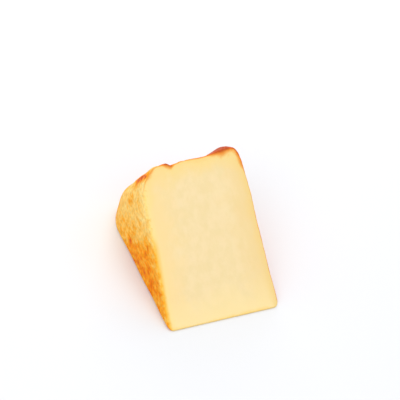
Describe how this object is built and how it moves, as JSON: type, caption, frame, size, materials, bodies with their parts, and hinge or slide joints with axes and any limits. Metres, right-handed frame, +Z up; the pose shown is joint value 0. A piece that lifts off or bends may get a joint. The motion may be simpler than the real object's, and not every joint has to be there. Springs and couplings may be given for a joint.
{
  "type": "smoked cheddar wedge",
  "caption": "Wedge of smoked cheddar cut from a small domed wheel, with flat cream cut faces and a browned, ridged rind, lying on one cut face.",
  "frame": {"origin": "middle of the wedge's outline as seen from above, on the cut face that it rests on", "axes": "+X along the thin edge, which lies on the wheel's axis, +Y from the thin edge towards the rim, +Z up"},
  "size_m": [0.0734, 0.0984, 0.0583],
  "materials": {
    "cheese": "satin cream curd with an orange-brown smoked rind"
  },
  "bodies": {
    "root": {"cheese_wedge": "cheese"}
  },
  "joints": []
}
